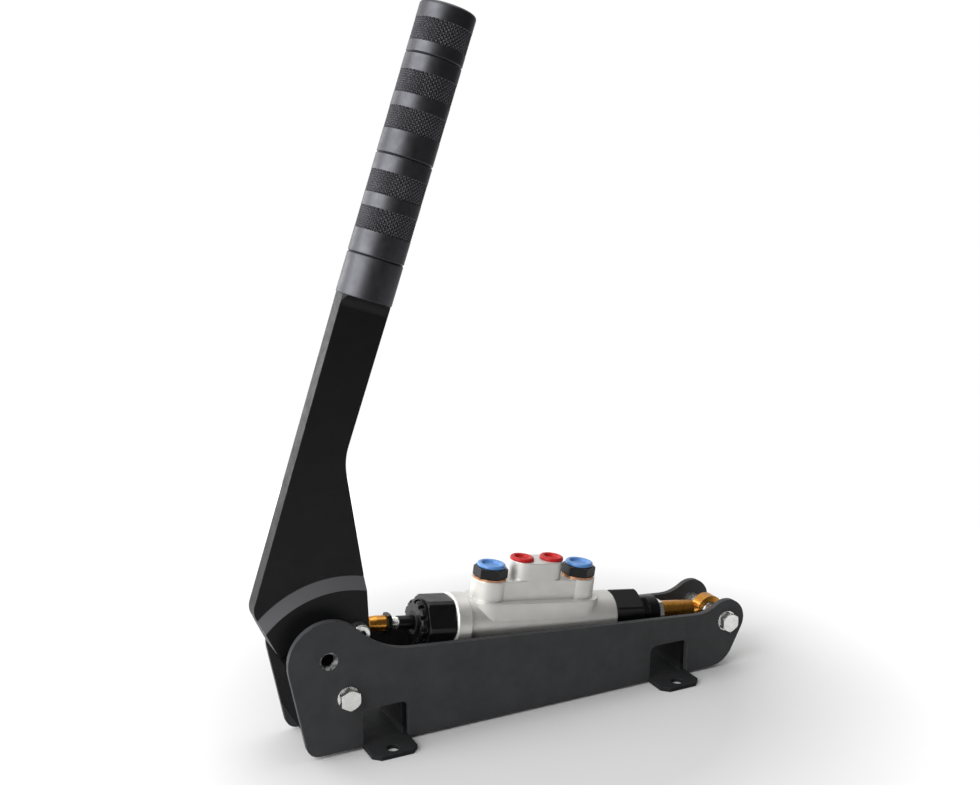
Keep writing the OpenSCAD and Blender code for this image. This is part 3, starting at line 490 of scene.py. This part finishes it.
def grip_part(node, bands, capped):
    """Knurled form of a grip node: bands are the middles of its knurled bands, from its lower end."""
    start, end = reach_along(node, SHANK_FOOT, GRIP_UP)
    length = end - start
    bore = POLE_R if capped else GRIP_BORE_R
    seg = KNURLS * KNURL_STEPS
    step = KNURL_PITCH / KNURL_STEPS
    rows, knurled = [(0, bore), (0, GRIP_R - GRIP_BEVEL), (GRIP_BEVEL, GRIP_R)], {}
    for middle in bands:
        low = middle - BAND_STEPS / 2 * step
        high = low + BAND_STEPS * step
        rows += [(low - lip, GRIP_R) for lip in reversed(BAND_LIPS)]
        for n in range(BAND_STEPS + 1):
            knurled[len(rows)] = n
            rows.append((low + n * step, GRIP_R))
        rows += [(high + lip, GRIP_R) for lip in BAND_LIPS]
    if capped:
        for n in range(CAP_ROUND_STEPS + 1):
            a = math.pi / 2 * n / CAP_ROUND_STEPS
            rows.append((length - CAP_ROUND * (1 - math.sin(a)), GRIP_R - CAP_ROUND * (1 - math.cos(a))))
        rows += [(length + z, r) for z, r in CAP_DIMPLE]
    else:
        rows += [(length - GRIP_BEVEL, GRIP_R), (length, GRIP_R - GRIP_BEVEL), (length, bore)]

    def shape(i, j, r):
        if j not in knurled:
            return r
        return r - KNURL_DEPTH * (1 - knurl_height(i, knurled[j]))

    def diagonal(i, j):
        return knurl_split(i, knurled[j]) if j in knurled and j + 1 in knurled else None

    verts, faces = lathe(rows, seg, shape, diagonal, close=capped)
    if not capped:
        last = (len(rows) - 1) * seg
        faces += [(last + i, last + (i + 1) % seg, (i + 1) % seg, i) for i in range(seg)]
    return verts, faces, stand(SHANK_FOOT + GRIP_UP * start * MM, GRIP_UP), 0


def add_grip():
    for name, node, bands, capped in (("grip_lower", "lower_grip_sleeve", SLEEVE_BANDS, False),
                                      ("grip_upper", "upper_grip_sleeve", SLEEVE_BANDS, False),
                                      ("grip_cap", "grip_end_cap", CAP_BANDS, True)):
        add_piece(name, [grip_part(node, bands, capped)], ["grip_finish"], "lever", node)


# Thread of the pushrod's stud, in mm
THREAD_R = 4.0
THREAD_PITCH = 1.25
THREAD_DEPTH = 0.62
THREAD_SLOPE = 1.3
THREAD_FLAT = 0.15
THREAD_SEG = 40
THREAD_CUTS = 8


def add_stud():
    start, end = reach_along("pushrod_stud", REAR_BOLT, AXIS_BACK)
    count = int((end - start) / THREAD_PITCH * THREAD_CUTS)
    rows = [(start + (end - start) * n / count, THREAD_R) for n in range(count + 1)]

    def shape(i, j, r):
        phase = (rows[j][0] / THREAD_PITCH - i / THREAD_SEG) % 1.0
        groove = THREAD_SLOPE * (1 - abs(2 * phase - 1)) - THREAD_FLAT
        return r - THREAD_DEPTH * min(1.0, max(0.0, groove))

    thread = lathe(rows, THREAD_SEG, shape) + (stand(REAR_BOLT, AXIS_BACK), 0)
    add_piece("pushrod_thread", [thread], ["zinc_steel"], "pushrod", "pushrod_stud")


# Locking nuts with a nylon ring: (height, radius) in mm from the washer
NUT_SEG = 72
NUT_FLATS = 13.0
NUT_BORE_R = 4.05
NUT_FACE_INSET = 0.3
NUT_FLATS_END = 5.2
NUT_CHAMFER_STEPS = 5
NUT_FOOT_CHAMFER = (0.12, 0.23)
NUT_TOP_CHAMFER = (0.14, 0.24)
NUT_COLLAR = [(6.2, 5.7), (7.2, 5.6), (7.7, 5.3), (8.0, 4.9), (8.0, 4.55), (7.6, 4.5)]
NYLON_RING = [(7.0, 4.5), (7.75, 4.5), (7.75, 4.02), (7.0, 4.02)]
NUT_BORE = [(7.0, NUT_BORE_R), (0, NUT_BORE_R)]


def lock_nut_parts(place):
    corner = NUT_FLATS / math.sqrt(3)
    steps = range(1, NUT_CHAMFER_STEPS + 1)
    face_r = NUT_FLATS / 2 - NUT_FACE_INSET
    rows = [(0, NUT_BORE_R), (0, face_r)]
    rows += [(NUT_FOOT_CHAMFER[0] * n, face_r + NUT_FOOT_CHAMFER[1] * n) for n in steps]
    rows += [(NUT_FLATS_END, corner)]
    rows += [(NUT_FLATS_END + NUT_TOP_CHAMFER[0] * n, corner - NUT_TOP_CHAMFER[1] * n) for n in steps]
    hex_rows = len(rows)

    def shape(i, j, r):
        turn = (2 * math.pi * i / NUT_SEG) % (math.pi / 3) - math.pi / 6
        return min(r, NUT_FLATS / 2 / math.cos(turn)) if j < hex_rows else r

    shell = lathe(rows + NUT_COLLAR, NUT_SEG, shape, close=False)
    ring = lathe(NYLON_RING, NUT_SEG, close=False)
    bore = lathe(NUT_BORE, NUT_SEG, close=False)
    return [shell + (place, 0), ring + (place, 1), bore + (place, 0)]


def add_lock_nuts():
    for name, axis, node in (("pivot_lock_nut", LEVER_PIVOT, "pivot_nut"),
                             ("rear_lock_nut", REAR_BOLT, "rear_nut")):
        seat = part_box(node)[0][1]
        place = stand(axis + Vector((0, seat, 0)), Vector((0, 1, 0)), Vector((1, 0, 0)))
        add_piece(name, lock_nut_parts(place), ["zinc_steel", "nylon"], "base", node)


# Shipping plugs in the four ports in line, in mm along the cylinder from the rear bolt and up from its axis
PORT_MIDDLE = -154.4
PORT_PITCH = 23.5
INLETS = [PORT_MIDDLE + place * PORT_PITCH for place in (-1.5, 1.5)]
OUTLETS = [PORT_MIDDLE + place * PORT_PITCH for place in (-0.5, 0.5)]
INLET_SEAT = 38.2
INLET_RIM_R = 10.0
INLET_STEM_R = 4.45
OUTLET_SEAT = 42.5
OUTLET_RIM_R = 8.5
OUTLET_STEM_R = 5.95
PLUG_SEG = 64
PLUG_SHARP = 50


def plug_part(along, seat, rim, stem):
    """A plug with a hollow head, from the foot of its stem up; rim and stem are radii."""
    rows = [(-6, stem - 0.6), (-5.4, stem), (0, stem), (0, rim - 0.4), (0.25, rim - 0.05), (0.6, rim),
            (1.5, rim - 0.1), (2.1, rim - 0.4), (2.45, rim - 0.9), (2.6, rim - 1.5), (2.55, rim - 2.3),
            (2.35, rim - 2.9), (2.0, rim - 3.3), (0.6, rim - 3.6), (0.3, rim - 4.0), (0.25, 1.6), (0.6, 1.3),
            (0.7, POLE_R)]
    place = stand(REAR_BOLT + (AXIS_BACK * along + AXIS_UP * seat) * MM, AXIS_UP)
    return lathe(rows, PLUG_SEG) + (place, 0)


def add_plugs():
    inlets = [plug_part(along, INLET_SEAT, INLET_RIM_R, INLET_STEM_R) for along in INLETS]
    outlets = [plug_part(along, OUTLET_SEAT, OUTLET_RIM_R, OUTLET_STEM_R) for along in OUTLETS]
    add_piece("blue_plugs", inlets, ["blue_plastic"], "cylinder", "inlet_plugs", PLUG_SHARP)
    add_piece("red_plugs", outlets, ["red_plastic"], "cylinder", "outlet_plugs", PLUG_SHARP)


# Studio: pale floor, soft lights and a white surround; places in m, power in W
FLOOR_R = 0.58
FLOOR_SEG = 96
FLOOR_SHADES = ((0.5, 0.5, 0.5), (0.53, 0.53, 0.53))
FLOOR_NOISE = 3
GLOW_SPAN = (0.15, 0.54)
BRIGHT_SIDE = (-0.6, 0.8, 0.1)
LIGHT_SPAN = (-0.5, 0.5)
DIM_LIGHT = 0.12
MIRROR_SPAN = (0.0, 0.4)
LAMP_AIM = Vector((-0.02, 0, 0.2))
LAMPS = {
    "key": dict(place=(-1.4, -0.25, 0.95), size=(1.7, 1.5), power=37),
    "rim": dict(place=(-1.0, 1.35, 0.5), size=(1.2, 0.9), power=11),
    "top": dict(place=(0.3, 0.2, 1.7), size=(1.2, 1.2), power=9),
}


def floor_material():
    """Pale floor with shadows, which brightens outwards to the white of the background; its dimmer middle round
    the object is partly cast shadow and partly painted shade.
    """
    material = bpy.data.materials.new("floor")
    material.use_nodes = True
    tree = material.node_tree
    tree.nodes.clear()
    out = new_node(tree, "ShaderNodeOutputMaterial")
    cover = new_node(tree, "ShaderNodeBsdfDiffuse")
    coords = new_node(tree, "ShaderNodeTexCoord").outputs["Object"]
    link(tree, mix(tree, noise(tree, coords, FLOOR_NOISE, FINE), *FLOOR_SHADES), cover.inputs["Color"])
    away = new_node(tree, "ShaderNodeVectorMath", operation="LENGTH")
    link(tree, coords, away.inputs[0])
    path = new_node(tree, "ShaderNodeLightPath").outputs
    seen = largest(tree, path["Is Camera Ray"], path["Is Glossy Ray"], path["Is Transmission Ray"])
    glow = new_node(tree, "ShaderNodeEmission")
    glow.inputs["Color"].default_value = (1, 1, 1, 1)
    # painted shade: the glow is held back near the object, so the floor round it stays darker than the white
    # beyond
    outer = map_range(tree, away.outputs["Value"], *GLOW_SPAN, 0, 1)
    link(tree, product(tree, outer, seen), glow.inputs["Strength"])
    both = new_node(tree, "ShaderNodeAddShader")
    link(tree, cover.outputs["BSDF"], both.inputs[0])
    link(tree, glow.outputs["Emission"], both.inputs[1])
    link(tree, both.outputs["Shader"], out.inputs["Surface"])
    return material


def add_floor():
    turns = [2 * math.pi * i / FLOOR_SEG for i in range(FLOOR_SEG)]
    rim = [(FLOOR_R * math.cos(a), FLOOR_R * math.sin(a), 0) for a in turns]
    mesh = bpy.data.meshes.new("floor")
    mesh.from_pydata(rim, [], [tuple(range(FLOOR_SEG))])
    mesh.materials.append(floor_material())
    floor = bpy.data.objects.new("floor", mesh)
    bpy.context.collection.objects.link(floor)


def add_world():
    """White to the camera and through glass; metal and light see it white behind and left, dim in front."""
    world = bpy.data.worlds.new("studio")
    world.use_nodes = True
    bpy.context.scene.world = world
    tree = world.node_tree
    background = tree.nodes["Background"]
    background.inputs["Color"].default_value = (1, 1, 1, 1)
    side = along_axis(tree, new_node(tree, "ShaderNodeTexCoord").outputs["Generated"], BRIGHT_SIDE)
    lit = map_range(tree, side, *LIGHT_SPAN, DIM_LIGHT, 1.0)
    behind = map_range(tree, side, *MIRROR_SPAN, 0, 1)
    path = new_node(tree, "ShaderNodeLightPath").outputs
    mirrored = product(tree, path["Is Glossy Ray"], behind)
    level = largest(tree, lit, mirrored, path["Is Camera Ray"], path["Is Transmission Ray"])
    link(tree, level, background.inputs["Strength"])


def add_lamp(name, place, size, power):
    data = bpy.data.lights.new(name, "AREA")
    data.shape = "RECTANGLE"
    data.size, data.size_y = size
    data.energy = power
    lamp = bpy.data.objects.new(name, data)
    lamp.location = place
    lamp.rotation_euler = (LAMP_AIM - Vector(place)).to_track_quat("-Z", "Y").to_euler()
    bpy.context.collection.objects.link(lamp)


paint_frame()
add_camera()
add_grip()
add_stud()
add_lock_nuts()
add_plugs()
add_floor()
add_world()
for lamp_name, lamp_values in LAMPS.items():
    add_lamp(lamp_name, **lamp_values)

bpy.context.scene.view_settings.view_transform = "Standard"
